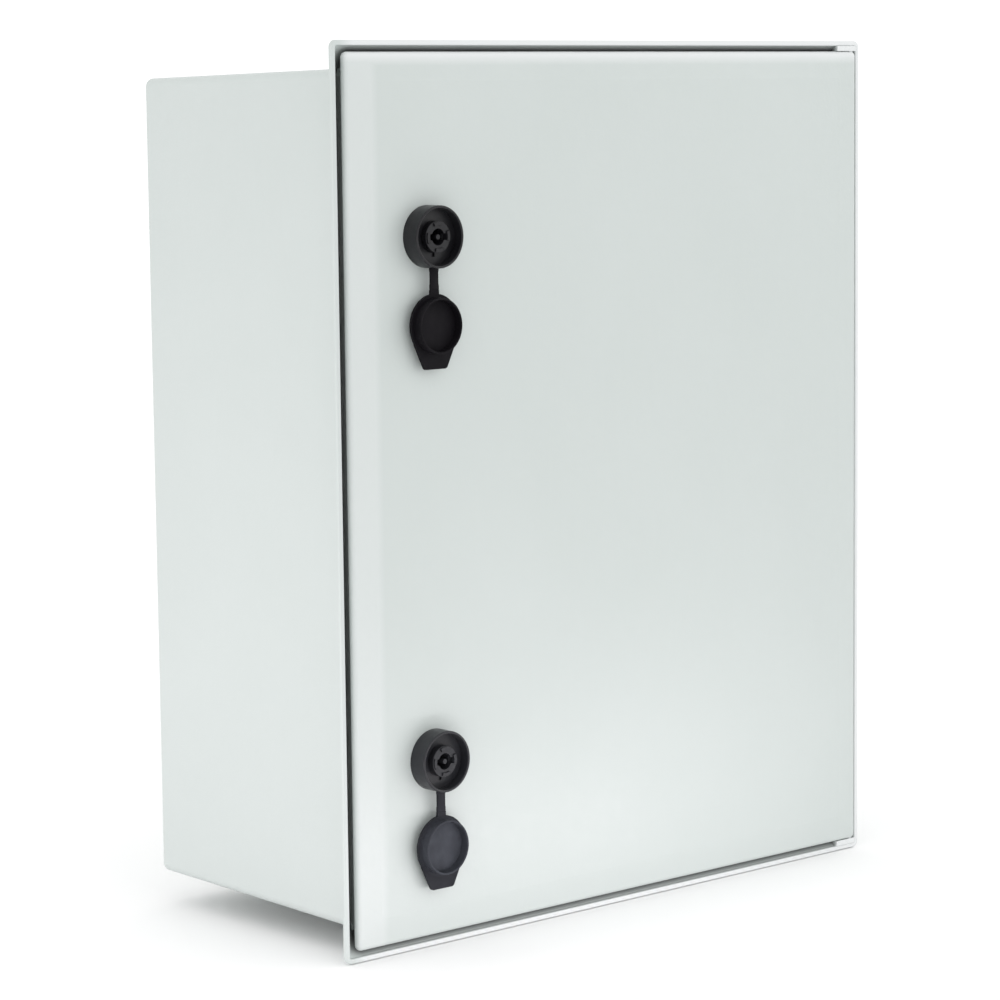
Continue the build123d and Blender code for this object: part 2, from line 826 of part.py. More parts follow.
def terminal_row():
    """Row of feed-through terminals, each with a wire entry at both ends."""
    length = terminal_pitch * terminal_count
    base_front = rail_front + terminal_depth / 2
    row = slab(Rectangle(length, terminal_height), module_back, base_front)
    row += slab(Rectangle(length, terminal_top_height), module_back, rail_front + terminal_depth)
    entry_offset = (terminal_height - terminal_entry_height) / 2 - terminal_entry_width / 2
    for index in range(terminal_count):
        x = (index - (terminal_count - 1) / 2) * terminal_pitch
        for side in (-1, 1):
            entry = Pos(x, side * entry_offset) * Rectangle(terminal_entry_width, terminal_entry_height)
            row -= slab(entry, base_front - terminal_entry_depth, base_front + overrun)
    return row - rail_notch()


def end_stops():
    stop = slab(Rectangle(stop_width, stop_height), module_back, module_back + stop_depth)
    stop = fillet(edges_at(stop, module_back + stop_depth), module_edge_radius) - rail_notch()
    offset = (terminal_pitch * terminal_count + stop_width) / 2
    return [Pos(side * offset, 0, 0) * stop for side in (-1, 1)]


def earth_posts():
    post = disc(earth_post_radius, plate_front, plate_front + earth_post_height)
    return [Pos(side * earth_post_spacing / 2, 0, earth_level) * post for side in (-1, 1)]


def earth_bar():
    seat = plate_front + earth_post_height
    bar = slab(Rectangle(earth_bar_length, earth_bar_width), seat, seat + earth_bar_sheet)
    for x in earth_screw_places():
        hole = disc(earth_screw_radius + thread_clearance, seat - overrun, seat + earth_bar_sheet + overrun)
        bar -= Pos(x, 0, 0) * hole
    return Pos(0, 0, earth_level) * bar


def earth_screw_places():
    pitch = earth_bar_length / (earth_screw_count + 2)
    return [(index - (earth_screw_count - 1) / 2) * pitch for index in range(earth_screw_count)]


def earth_screws():
    seat = plate_front + earth_post_height + earth_bar_sheet
    screw = fixing_screw(
        earth_screw_head_radius, earth_screw_head_height, earth_screw_radius, earth_bar_sheet, seat
    )
    return [Pos(x, 0, earth_level) * screw for x in earth_screw_places()]


def side_by_side(widths, left):
    """Centres of things set side by side from a left end, a gap apart."""
    centres = []
    for width in widths:
        centres.append(left + width / 2)
        left += width + module_gap
    return centres


def cabinet_nodes():
    nodes = {
        "cabinet_body": cabinet_body(),
        "plate_inserts": plate_inserts(),
        "mounting_plate": mounting_plate(),
        "plate_screws": plate_screws(),
    }
    nodes["upper_hinge_block"], nodes["lower_hinge_block"] = hinge_blocks()
    nodes["upper_hinge_pin"], nodes["lower_hinge_pin"] = pivot_pins()
    nodes["upper_catch"], nodes["lower_catch"] = upright(catch(), lock_height)
    nodes["catch_screws"] = []
    for screw in catch_screws():
        nodes["catch_screws"] += upright(screw, lock_height)
    return nodes


def equipment_nodes():
    nodes = {
        "upper_rail": din_rail(rail_level_upper),
        "middle_rail": din_rail(rail_level_middle),
        "lower_rail": din_rail(rail_level_lower),
        "rail_screws": rail_screws(),
    }
    rail_start = upper_row_inset - rail_length / 2
    upper_widths = (breaker_width, arrester_width, supply_width)
    breaker_x, arrester_x, supply_x = side_by_side(upper_widths, rail_start)
    on_breaker = Pos(breaker_x, 0, rail_level_upper)
    on_arrester = Pos(arrester_x, 0, rail_level_upper)
    nodes["main_breaker"] = on_breaker * breaker_housing()
    nodes["breaker_lever"] = on_breaker * breaker_lever()
    nodes["surge_arrester"] = on_arrester * surge_arrester()
    nodes["surge_cartridge"] = on_arrester * surge_cartridge()
    nodes["power_supply"] = Pos(supply_x, 0, rail_level_upper) * power_supply()

    middle_widths = (controller_width,) + 4 * (driver_width,)
    middle_places = side_by_side(middle_widths, -sum(middle_widths) / 2 - 2 * module_gap)
    on_controller = Pos(middle_places[0], 0, rail_level_middle)
    nodes["controller_housing"] = on_controller * controller_housing()
    nodes["controller_cover"] = on_controller * controller_cover()
    nodes["controller_display"] = on_controller * controller_display()
    for name, x in (("start_key", -key_pitch / 2), ("stop_key", key_pitch / 2)):
        nodes[name] = on_controller * Pos(x, 0, 0) * controller_key()
    plugs = []
    lamps = []
    for number, x in enumerate(middle_places[1:], start=1):
        place = Pos(x, 0, rail_level_middle)
        nodes[f"lamp_driver_{number}"] = place * lamp_driver()
        plugs += [place * plug for plug in driver_plugs()]
        lamps += [place * lamp for lamp in driver_lamps()]
    nodes["driver_plugs"] = plugs
    nodes["driver_lamps"] = lamps

    on_lower = Pos(0, 0, rail_level_lower)
    nodes["terminal_row"] = on_lower * terminal_row()
    nodes["end_stops"] = [on_lower * stop for stop in end_stops()]
    nodes["earth_posts"] = earth_posts()
    nodes["earth_bar"] = earth_bar()
    nodes["earth_screws"] = earth_screws()
    return nodes


def door_nodes():
    nodes = {"door_panel": door_panel(), "door_gasket": door_gasket()}
    makers = {
        "lock_housing": lock_housing,
        "lock_seal": lock_seal,
        "lock_nut": lock_nut,
        "lock_insert": lock_insert,
        "lock_cam": lock_cam,
        "cam_screw": cam_screw,
        "cap_strap": cap_strap,
        "dust_cap": dust_cap,
    }
    for piece, maker in makers.items():
        shape = Pos(lock_x, 0, 0) * maker()
        nodes[f"upper_{piece}"], nodes[f"lower_{piece}"] = upright(shape, lock_height)
    return nodes


def main():
    os.makedirs("parts", exist_ok=True)
    for name, shape in (cabinet_nodes() | equipment_nodes() | door_nodes()).items():
        if isinstance(shape, list):
            shape = Compound(shape)
        export_step(shape, f"parts/{name}.step")


main()
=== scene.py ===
import bpy
import json
from math import cos, pi, radians, sin
from mathutils import Matrix, Vector


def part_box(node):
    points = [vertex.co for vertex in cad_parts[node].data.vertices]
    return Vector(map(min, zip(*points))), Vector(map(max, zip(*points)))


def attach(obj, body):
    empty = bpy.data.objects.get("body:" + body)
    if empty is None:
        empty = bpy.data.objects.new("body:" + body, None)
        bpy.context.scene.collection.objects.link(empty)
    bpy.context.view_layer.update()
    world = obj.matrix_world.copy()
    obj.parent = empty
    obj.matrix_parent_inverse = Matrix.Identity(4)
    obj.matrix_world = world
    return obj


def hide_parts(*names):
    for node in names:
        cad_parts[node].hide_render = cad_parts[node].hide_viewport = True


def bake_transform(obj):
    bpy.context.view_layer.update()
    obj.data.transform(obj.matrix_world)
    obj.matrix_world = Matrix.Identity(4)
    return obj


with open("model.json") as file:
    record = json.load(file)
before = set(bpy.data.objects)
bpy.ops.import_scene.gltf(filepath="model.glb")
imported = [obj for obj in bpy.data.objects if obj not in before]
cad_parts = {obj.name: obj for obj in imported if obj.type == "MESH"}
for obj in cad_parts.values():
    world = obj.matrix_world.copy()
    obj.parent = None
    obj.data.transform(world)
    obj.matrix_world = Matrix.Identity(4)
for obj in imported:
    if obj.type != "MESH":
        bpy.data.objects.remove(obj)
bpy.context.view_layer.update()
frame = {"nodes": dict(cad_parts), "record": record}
MM = 0.001

# Camera, fitted to the photograph's edges, in metres and degrees
CAMERA_PLACE = (-1.6276, -1.8966, 0.2659)
CAMERA_YAW = 42.32
CAMERA_DOWN = 6.872
CAMERA_ROLL = -0.635
FOCAL_PIXELS = 3385.0
IMAGE_PIXELS = 1000.0
SENSOR_WIDTH = 36.0

# Studio lights: place and aim in metres, width, height, power in watts, colour
WHITE_LIGHT = (1.0, 1.0, 1.0)
LOW_LIGHT_COLOUR = (1.0, 0.92, 0.96)
STUDIO_LIGHTS = {
    "right_light": ((2.4, -2.2, 0.9), (0, -0.2, 0), 1.2, 1.2, 5.0, WHITE_LIGHT),
    "low_front_light": ((-0.06, -0.42, -0.285), (-0.06, -0.23, -0.2), 0.5, 0.02, 0.22, LOW_LIGHT_COLOUR),
    "low_left_light": ((-0.8, -0.1, -0.24), (-0.25, -0.1, -0.24), 0.6, 0.08, 0.9, LOW_LIGHT_COLOUR),
}

# Places read from the frame
LOCKS = ("upper", "lower")
body_low, body_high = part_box("cabinet_body")
door_low, door_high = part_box("door_panel")
FLOOR_LEVEL = body_low[2] - 0.5 * MM
COLLAR_FRONT = -body_low[1]
COLLAR_REACH = 18.0 * MM
MOUTH_HALF_WIDTH = body_high[0] - COLLAR_REACH
MOUTH_HALF_HEIGHT = body_high[2] - COLLAR_REACH
GUTTER_ROOT = COLLAR_FRONT - 17.46 * MM
# Painted light: a paler tone on the lower lock, fading in below this level
PAINTED_LIGHT_LEVEL = -60.0 * MM
PAINTED_LIGHT_FADE = 40.0 * MM
cap_low, cap_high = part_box("lower_dust_cap")
CAP_FLANGE_RADIUS = 20.8 * MM
CAP_LUG = 2.5 * MM
CAP_HOLLOW_RADIUS = 16.5 * MM
# Share of the painted light left on the cap's rim
CAP_RIM_PAINTED_LIGHT = 0.35
LOCK_X = (cap_low[0] + cap_high[0]) / 2
LOWER_CAP_Z = cap_high[2] - CAP_LUG - CAP_FLANGE_RADIUS
# Painted seam shade: the share kept on the latch side
LATCH_PAINTED_SHADE = 0.1
LATCH_EDGE = -MOUTH_HALF_WIDTH
LATCH_SPAN = (-11.0 * MM, -1.0 * MM)
HINGE_EDGE = MOUTH_HALF_WIDTH
HINGE_SPAN = (-4.0 * MM, 6.0 * MM)
GUTTER_FLOOR_SPAN = (-0.8 * MM, -0.2 * MM)
COLLAR_WALL_SPAN = (1.5 * MM, 6.0 * MM)
COLLAR_OUTSIDE_SPAN = (-2.4 * MM, -1.6 * MM)
LIP_SPAN = (-0.2 * MM, 0.4 * MM)
COLLAR_EDGE_SPAN = (0.5 * MM, 2.0 * MM)
# Painted highlight on the collar's front edge: the share kept on the latch side
LATCH_EDGE_PAINTED_HIGHLIGHT = 0.1
# Painted highlights on the collar's and the door's edges, and painted light on the door's left border
EDGE_PAINTED_HIGHLIGHT = 0.8
EDGE_PAINTED_HIGHLIGHT_SPAN = (2.0 * MM, 9.0 * MM)
BORDER_PAINTED_LIGHT = 0.25
BORDER_PAINTED_LIGHT_SPAN = (20.0 * MM, 26.0 * MM)

# Sizes of the lock's and the cap's details
STRAP_STEPS = 15
STRAP_WIDTH_MARGIN = 8.0 * MM
STRAP_WAIST = 0.92
STRAP_WAIST_SHARE = 0.55
STRAP_ROUND = 0.35 * MM
COLLAR_LAND_RADII = (7.6 * MM, 9.8 * MM)
COLLAR_LAND_HEIGHT = 0.9 * MM
COLLAR_LAND_ROOT = 0.2 * MM
COLLAR_LAND_STEPS = 8
COLLAR_LAND_TURN = radians(42)
COLLAR_LAND_START = radians(24)
MERGE_DISTANCE = 0.001 * MM

# Sizes of the equipment's details
SCREW_SIDES = 20
SCREW_HEAD_SHARE = 0.7
SCREW_RIM_SHARE = 0.2
SCREW_CROWN_SHARE = 0.12
SCREW_SLOT_SHARE = 0.24
SCREW_SLOT_DEPTH_SHARE = 0.3
SOCKET_DEPTH_SHARE = 0.45
SOCKET_WALL = 0.9 * MM
NOSE_DEPTH = 16.0 * MM
MODULE_SCREW_INSET = 9.5 * MM
MODULE_SCREW_RADIUS = 3.1 * MM
FLAG_HALF_SIZE = (3.6 * MM, 2.2 * MM)
FLAG_HEIGHT = 0.6 * MM
FLAG_RISE = 16.5 * MM
TERMINAL_COUNT = 30
TERMINAL_STEP = 20.0 * MM
TERMINAL_CROWN = 30.0 * MM
TERMINAL_SCREW_INSET = 9.6 * MM
TERMINAL_SCREW_RADIUS = 2.1 * MM
TERMINAL_PARTITION = 0.8 * MM
TERMINAL_PARTITION_RISE = 6.0 * MM
TERMINAL_TAG_WIDTH = 6.4 * MM
TERMINAL_TAG_HALF = 3.2 * MM
SUPPLY_STRIP_MARGIN = 7.0 * MM
SUPPLY_STRIP_RISE = 3.0 * MM
SUPPLY_STRIP_HEIGHT = 12.0 * MM
SUPPLY_STRIP_CELLS = 8
CONTROLLER_STRIP_MARGIN = 7.0 * MM
CONTROLLER_STRIP_RISE = 2.5 * MM
CONTROLLER_STRIP_HEIGHT = 11.0 * MM
CONTROLLER_STRIP_CELLS = 14
CONTROLLER_LAMPS = 8
LAMP_RADIUS = 1.6 * MM
LAMP_RISE = 1.0 * MM
LAMP_SIDES = 20
LAMP_DROP = 9.0 * MM
DRIVERS = 4
FUSE_DROP = 14.0 * MM
FUSE_RADIUS = 5.5 * MM
FUSE_RISE = 3.0 * MM
FUSE_SIDES = 28
PLUG_CELLS = 5
PLUG_HEIGHT = 17.7 * MM
PLUG_FACE_MARGIN = 2.4 * MM
PLUG_FACE_RISE = 1.2 * MM


def deselect():
    """Nothing stays selected, so that the next operator acts on its own piece only."""
    if bpy.context.object and bpy.context.object.mode != "OBJECT":
        bpy.ops.object.mode_set(mode="OBJECT")
    bpy.ops.object.select_all(action="DESELECT")


def add_camera():
    yaw, down, roll = (radians(angle) for angle in (CAMERA_YAW, CAMERA_DOWN, CAMERA_ROLL))
    forward = Vector((sin(yaw) * cos(down), cos(yaw) * cos(down), -sin(down)))
    level = Vector((cos(yaw), -sin(yaw), 0))
    upward = level.cross(forward)
    right = level * cos(roll) + upward * sin(roll)
    top = upward * cos(roll) - level * sin(roll)
    bpy.ops.object.camera_add(location=CAMERA_PLACE)
    camera = bpy.context.object
    camera.data.sensor_width = SENSOR_WIDTH
    camera.data.lens = FOCAL_PIXELS / IMAGE_PIXELS * SENSOR_WIDTH
    turn = Matrix((right, top, -forward)).transposed().to_4x4()
    camera.matrix_world = Matrix.Translation(CAMERA_PLACE) @ turn
    bpy.context.scene.camera = camera


def add_light(name, place, aim, width, height, power, colour):
    """Soft studio light, turned towards a point."""
    bpy.ops.object.light_add(type="AREA", location=place)
    light = bpy.context.object
    light.name = name
    light.data.shape = "RECTANGLE"
    light.data.size = width
    light.data.size_y = height
    light.data.energy = power
    light.data.color = colour
    light.visible_camera = False
    light.rotation_euler = (Vector(aim) - Vector(place)).to_track_quat("-Z", "Y").to_euler()


def add_studio():
    deselect()
    bpy.ops.mesh.primitive_plane_add(size=14, location=(0, 0, FLOOR_LEVEL))
    floor = bpy.context.object
    floor.name = "studio_floor"
    paper = bpy.data.materials.new("studio_paper")
    paper.use_nodes = True
    shader = paper.node_tree.nodes["Principled BSDF"]
    shader.inputs["Base Color"].default_value = (0.96, 0.96, 0.96, 1)
    shader.inputs["Roughness"].default_value = 0.9
    floor.data.materials.append(paper)
    scene = bpy.context.scene
    scene.view_settings.view_transform = "Standard"
    world = bpy.data.worlds.new("studio_room")
    scene.world = world
    world.use_nodes = True
    world.node_tree.nodes["Background"].inputs["Color"].default_value = (1, 1, 1, 1)
    world.node_tree.nodes["Background"].inputs["Strength"].default_value = 1.15
    for name, light in STUDIO_LIGHTS.items():
        add_light(name, *light)


# Finishes
class Finish:
    """Node material read from Object coordinates, with short calls for its usual parts."""

    def __init__(self, name):
        self.material = bpy.data.materials.new(name)
        self.material.use_nodes = True
        self.tree = self.material.node_tree
        self.shader = self.tree.nodes["Principled BSDF"]
        self.place = self.add("ShaderNodeTexCoord").outputs["Object"]

    def add(self, kind, **inputs):
        node = self.tree.nodes.new(kind)
        for key, value in inputs.items():
            self.feed(node.inputs[key.replace("_", " ")], value)
        return node

    def feed(self, socket, value):
        if isinstance(value, bpy.types.NodeSocket):
            self.tree.links.new(value, socket)
        else:
            socket.default_value = value

    def stretched(self, scale):
        return self.add("ShaderNodeMapping", Vector=self.place, Scale=scale).outputs["Vector"]

    def noise(self, scale, detail=3.0, vector=None):
        node = self.add("ShaderNodeTexNoise", Vector=vector or self.place, Scale=scale, Detail=detail)
        return node.outputs["Fac"]

    def cells(self, scale, vector=None):
        return self.add("ShaderNodeTexVoronoi", Vector=vector or self.place, Scale=scale)

    def spread(self, value, low, high, start=0.3, end=0.7):
        node = self.add("ShaderNodeMapRange", Value=value, From_Min=start, From_Max=end)
        node.inputs["To Min"].default_value = low
        node.inputs["To Max"].default_value = high
        return node.outputs["Result"]

    def fade(self, value, low, high, edge, span):
        """From the first share to the second one, over a span beside an edge."""
        return self.spread(value, low, high, edge + span[0], edge + span[1])

    def blend_colours(self, share, first, second):
        node = self.tree.nodes.new("ShaderNodeMix")
        node.data_type = "RGBA"
        self.feed(node.inputs[0], share)
        self.feed(node.inputs[6], first)
        self.feed(node.inputs[7], second)
        return node.outputs[2]

    def count(self, operation, *values):
        """One arithmetic step on numbers or sockets."""
        node = self.tree.nodes.new("ShaderNodeMath")
        node.operation = operation
        for socket, value in zip(node.inputs, values):
            self.feed(socket, value)
        return node.outputs["Value"]

    def axes(self):
        node = self.add("ShaderNodeSeparateXYZ", Vector=self.place)
        return [node.outputs[axis] for axis in "XYZ"]

    def bump(self, heights, depth, below=None):
        node = self.add("ShaderNodeBump", Height=heights, Distance=depth, Strength=1.0)
        if below is not None:
            self.tree.links.new(below, node.inputs["Normal"])
        return node.outputs["Normal"]

    def set(self, **inputs):
        for key, value in inputs.items():
            self.feed(self.shader.inputs[key.replace("_", " ")], value)
        return self


def rgb(red, green, blue):
    return (red, green, blue, 1.0)


def polyester_finish(name, painted_highlight, painted_shade=None):
    """Moulded glass-fibre polyester: even pale grey, faint streaks, slight orange peel, painted highlights
    on the edges, and painted shade in the seam where given.
    """
    skin = Finish(name)
    cloud = skin.spread(skin.noise(9.0), 0.0, 1.0)
    streak = skin.spread(skin.noise(240.0, 2.0, skin.stretched((1.0, 1.0, 0.12))), 0.0, 0.08, 0.45, 0.8)
    base = skin.blend_colours(cloud, rgb(0.524, 0.568, 0.553), rgb(0.536, 0.579, 0.565))
    clean = skin.blend_colours(streak, base, rgb(0.563, 0.6, 0.588))
    # Painted highlight: a paler tone laid on the edges where light falls
    colour = skin.blend_colours(painted_highlight(skin), clean, rgb(0.72, 0.735, 0.74))
    # Painted shade: a near-black colour laid into the seam where shadow falls
    if painted_shade:
        colour = skin.blend_colours(painted_shade(skin), colour, rgb(0.115, 0.118, 0.118))
    peel = skin.bump(skin.noise(420.0, 1.0), 0.00006)
    skin.set(
        Base_Color=colour, Normal=skin.bump(skin.noise(60.0, 2.0), 0.00012, peel),
        Roughness=skin.spread(skin.noise(130.0, 3.0), 0.34, 0.48),
    )
    return skin.material


def gutter_painted_shade(skin):
    """Share of painted shade on the gutter's floor and deep on the collar's wall, standing in for the shadow
    in the seam; none at the hinge.
    """
    x, y, z = skin.axes()
    beyond_x = skin.count("SUBTRACT", skin.count("ABSOLUTE", x), MOUTH_HALF_WIDTH)
    beyond_z = skin.count("SUBTRACT", skin.count("ABSOLUTE", z), MOUTH_HALF_HEIGHT)
    beyond = skin.count("MAXIMUM", beyond_x, beyond_z)
    height = skin.count("SUBTRACT", skin.count("MULTIPLY", y, -1.0), beyond)
    inside = skin.fade(height, 0.0, 1.0, GUTTER_ROOT, GUTTER_FLOOR_SPAN)
    under_rim = skin.fade(y, 0.0, 1.0, -COLLAR_FRONT, COLLAR_WALL_SPAN)
    in_collar = skin.fade(beyond, 1.0, 0.0, COLLAR_REACH, COLLAR_OUTSIDE_SPAN)
    past_lip = skin.fade(beyond, 0.0, 1.0, 0.0, LIP_SPAN)
    latch_side = skin.fade(x, LATCH_PAINTED_SHADE, 1.0, LATCH_EDGE, LATCH_SPAN)
    hinge_side = skin.fade(x, 1.0, 0.0, HINGE_EDGE, HINGE_SPAN)
    painted_shade = skin.count("MULTIPLY", latch_side, hinge_side)
    for limit in (inside, under_rim, in_collar, past_lip):
        painted_shade = skin.count("MULTIPLY", painted_shade, limit)
    return painted_shade


def collar_painted_highlight(skin):
    """Share of the painted highlight on the collar's front edge, faint on the left."""
    x, y, z = skin.axes()
    front = skin.fade(y, 1.0, 0.0, -COLLAR_FRONT, COLLAR_EDGE_SPAN)
    beyond_left = skin.fade(x, LATCH_EDGE_PAINTED_HIGHLIGHT, EDGE_PAINTED_HIGHLIGHT, LATCH_EDGE, LATCH_SPAN)
    return skin.count("MULTIPLY", front, beyond_left)


def door_painted_highlight(skin):
    """Share of the paler tone painted as a highlight on the door's rounded top edge, and as light on its
    left border, which slopes towards the light.
    """
    x, y, z = skin.axes()
    from_top = skin.count("SUBTRACT", door_high[2], z)
    top = skin.fade(from_top, EDGE_PAINTED_HIGHLIGHT, 0.0, 0.0, EDGE_PAINTED_HIGHLIGHT_SPAN)
    left = skin.fade(x, BORDER_PAINTED_LIGHT, 0.0, door_low[0], BORDER_PAINTED_LIGHT_SPAN)
    return skin.count("MAXIMUM", top, left)


def lower_painted_light(plastic):
    """Share of the paler tone painted on the lower lock as the light that reaches it lower down, none on the
    upper one.
    """
    low_down = plastic.spread(plastic.axes()[2], 1.0, 0.0, PAINTED_LIGHT_LEVEL - PAINTED_LIGHT_FADE, PAINTED_LIGHT_LEVEL + PAINTED_LIGHT_FADE)
    return plastic.count("MULTIPLY", low_down, plastic.spread(plastic.noise(90.0), 0.7, 1.0))


def cap_hollow_painted_light(plastic):
    """Share of the paler tone painted in the lower cap's front-facing hollow as light on it, less on its rim
    and tab.
    """
    x, y, z = plastic.axes()
    across, along = plastic.count("SUBTRACT", x, LOCK_X), plastic.count("SUBTRACT", z, LOWER_CAP_Z)
    squares = plastic.count("ADD", plastic.count("POWER", across, 2.0), plastic.count("POWER", along, 2.0))
    radius = plastic.count("SQRT", squares)
    hollow = plastic.spread(radius, 1.0, CAP_RIM_PAINTED_LIGHT, CAP_HOLLOW_RADIUS, CAP_FLANGE_RADIUS)
    return plastic.count("MULTIPLY", lower_painted_light(plastic), hollow)


def moulded_finish(
    name, dark, light, rough, grain=900.0, depth=0.00005, painted_light_colour=None, painted_light_share=lower_painted_light, gloss=0.5
):
    """Moulded plastic or rubber: two close tones, spark-eroded grain, uneven gloss, and a paler tone painted
    as light where a share is given.
    """
    plastic = Finish(name)
    colour = plastic.blend_colours(plastic.spread(plastic.noise(70.0), 0.0, 1.0), dark, light)
    # Painted light: a paler tone laid where the share says light falls
    if painted_light_colour:
        colour = plastic.blend_colours(painted_light_share(plastic), colour, painted_light_colour)
    plastic.set(Specular_IOR_Level=gloss)
    plastic.set(
        Base_Color=colour, Normal=plastic.bump(plastic.noise(grain, 2.0), depth),
        Roughness=plastic.spread(plastic.noise(160.0), rough - 0.06, rough + 0.08),
    )
    return plastic.material


def foam_finish():
    """Closed-cell foam with open pores on its skin."""
    foam = Finish("gasket_foam")
    pores = foam.cells(1100.0).outputs["Distance"]
    skin_share = foam.spread(pores, 0.0, 1.0, 0.1, 0.5)
    colour = foam.blend_colours(skin_share, rgb(0.012, 0.012, 0.013), rgb(0.05, 0.05, 0.052))
    rough = foam.spread(foam.noise(300.0), 0.8, 0.95)
    foam.set(Base_Color=colour, Normal=foam.bump(pores, 0.0002), Roughness=rough)
    return foam.material


def zinc_sheet_finish():
    """Hot-dip zinc sheet with its frozen spangle."""
    zinc = Finish("zinc_sheet")
    crystal = zinc.cells(70.0, zinc.stretched((1.0, 1.0, 1.35))).outputs["Color"]
    grey = zinc.spread(crystal, 0.0, 1.0, 0.1, 0.9)
    colour = zinc.blend_colours(grey, rgb(0.46, 0.47, 0.48), rgb(0.64, 0.65, 0.65))
    zinc.set(
        Base_Color=colour, Metallic=1.0, Normal=zinc.bump(zinc.noise(500.0, 3.0), 0.00002),
        Roughness=zinc.spread(crystal, 0.28, 0.5, 0.1, 0.9),
    )
    return zinc.material


def drawn_metal_finish(name, dark, light, rough, stretch):
    """Metal with fine lines along the way it was drawn, rolled or turned."""
    metal = Finish(name)
    lines = metal.noise(600.0, 3.0, metal.stretched(stretch))
    colour = metal.blend_colours(metal.spread(lines, 0.0, 1.0), dark, light)
    metal.set(
        Base_Color=colour, Metallic=1.0, Normal=metal.bump(lines, 0.00003),
        Roughness=metal.spread(lines, rough - 0.08, rough + 0.1),
    )
    return metal.material


def screen_finish():
    """Dark display window with a faint grid of dots behind a glossy front."""
    screen = Finish("display_window")
    dots = screen.cells(900.0).outputs["Distance"]
    dot_share = screen.spread(dots, 0.0, 1.0, 0.1, 0.6)
    colour = screen.blend_colours(dot_share, rgb(0.03, 0.045, 0.035), rgb(0.055, 0.075, 0.055))
    rough = screen.spread(screen.noise(200.0), 0.06, 0.12)
    screen.set(Base_Color=colour, Roughness=rough, Coat_Weight=0.6)
    screen.set(Normal=screen.bump(screen.noise(30.0), 0.00004))
    return screen.material


def lens_finish():
    """Amber indicator lens with a ribbed back showing through."""
    lens = Finish("indicator_lens")
    ribs = lens.noise(1500.0, 1.0, lens.stretched((1.0, 1.0, 0.2)))
    colour = lens.blend_colours(lens.spread(ribs, 0.0, 1.0), rgb(0.55, 0.13, 0.02), rgb(0.85, 0.32, 0.05))
    lens.set(Base_Color=colour, Roughness=lens.spread(ribs, 0.12, 0.25), Coat_Weight=0.5)
    lens.set(Normal=lens.bump(ribs, 0.00004))
    return lens.material


def all_finishes():
    return {
        "polyester": polyester_finish("body_polyester", collar_painted_highlight, gutter_painted_shade),
        "lock_black": moulded_finish(
            "lock_plastic", rgb(0.006, 0.006, 0.008), rgb(0.011, 0.011, 0.013), 0.36,
            painted_light_colour=rgb(0.022, 0.023, 0.027), gloss=0.32,
        ),
        "cap_rubber": moulded_finish(
            "cap_rubber", rgb(0.005, 0.0045, 0.006), rgb(0.009, 0.008, 0.01), 0.55, 1200.0,
            painted_light_colour=rgb(0.06, 0.065, 0.078), painted_light_share=cap_hollow_painted_light, gloss=0.08,
        ),
        "foam": foam_finish(),
        "plated_steel": zinc_sheet_finish(),
        "brass": drawn_metal_finish(
            "turned_brass", rgb(0.55, 0.38, 0.14), rgb(0.75, 0.56, 0.25), 0.32, (0.1, 1.0, 1.0)
        ),
        "case_grey": moulded_finish(
            "case_grey_plastic", rgb(0.52, 0.53, 0.52), rgb(0.58, 0.59, 0.58), 0.45
        ),
        "case_dark": moulded_finish(
            "case_dark_plastic", rgb(0.028, 0.03, 0.034), rgb(0.045, 0.048, 0.052), 0.48
        ),
        "supply_metal": drawn_metal_finish(
            "supply_case", rgb(0.55, 0.56, 0.57), rgb(0.7, 0.71, 0.72), 0.4, (0.06, 1.0, 1.0)
        ),
        "terminal_beige": moulded_finish(
            "terminal_plastic", rgb(0.42, 0.43, 0.41), rgb(0.48, 0.49, 0.47), 0.5
        ),
        "plug_green": moulded_finish("plug_plastic", rgb(0.03, 0.19, 0.07), rgb(0.045, 0.24, 0.09), 0.45),
        "lens": lens_finish(),
        "screen": screen_finish(),
        "key_green": moulded_finish("green_key", rgb(0.03, 0.25, 0.07), rgb(0.045, 0.3, 0.09), 0.3),
        "key_red": moulded_finish("red_key", rgb(0.42, 0.02, 0.015), rgb(0.5, 0.03, 0.02), 0.3),
    }


def dress_frame(finishes):
    """Every CAD node gets the finish of its slot, and the door its own polyester with painted highlights."""
    door_skin = polyester_finish("door_polyester", door_painted_highlight)
    for part in frame["record"]["subparts"]:
        node = frame["nodes"][part["node"]]
        node.data.materials.clear()
        slot_finish = finishes[part["material_slot"]]
        node.data.materials.append(door_skin if part["node"] == "door_panel" else slot_finish)


# Modelling by hand, one operator after another
def start_block(name, low, high):
    deselect()
    centre = [(a + b) / 2 for a, b in zip(low, high)]
    bpy.ops.mesh.primitive_cube_add(size=1, location=centre, scale=[b - a for a, b in zip(low, high)])
    piece = bpy.context.object
    piece.name = name
    bpy.ops.object.transform_apply(location=True, rotation=True, scale=True)
    return piece


def start_disc(name, centre, radius, height, sides):
    """Round blank whose axis runs from the front to the back; the centre is its middle."""
    deselect()
    bpy.ops.mesh.primitive_cylinder_add(
        vertices=sides, radius=radius, depth=height, location=centre, rotation=(pi / 2, 0, 0)
    )
    piece = bpy.context.object
    piece.name = name
    bpy.ops.object.transform_apply(location=True, rotation=True, scale=True)
    return piece


def pick_faces(piece, chosen):
    """Edit mode, with the faces selected that a test on their normal and centre picks."""
    bpy.ops.object.mode_set(mode="EDIT")
    bpy.ops.mesh.select_mode(type="FACE")
    bpy.ops.mesh.select_all(action="DESELECT")
    bpy.ops.object.mode_set(mode="OBJECT")
    for face in piece.data.polygons:
        face.select = chosen(face.normal, face.center)
    bpy.ops.object.mode_set(mode="EDIT")


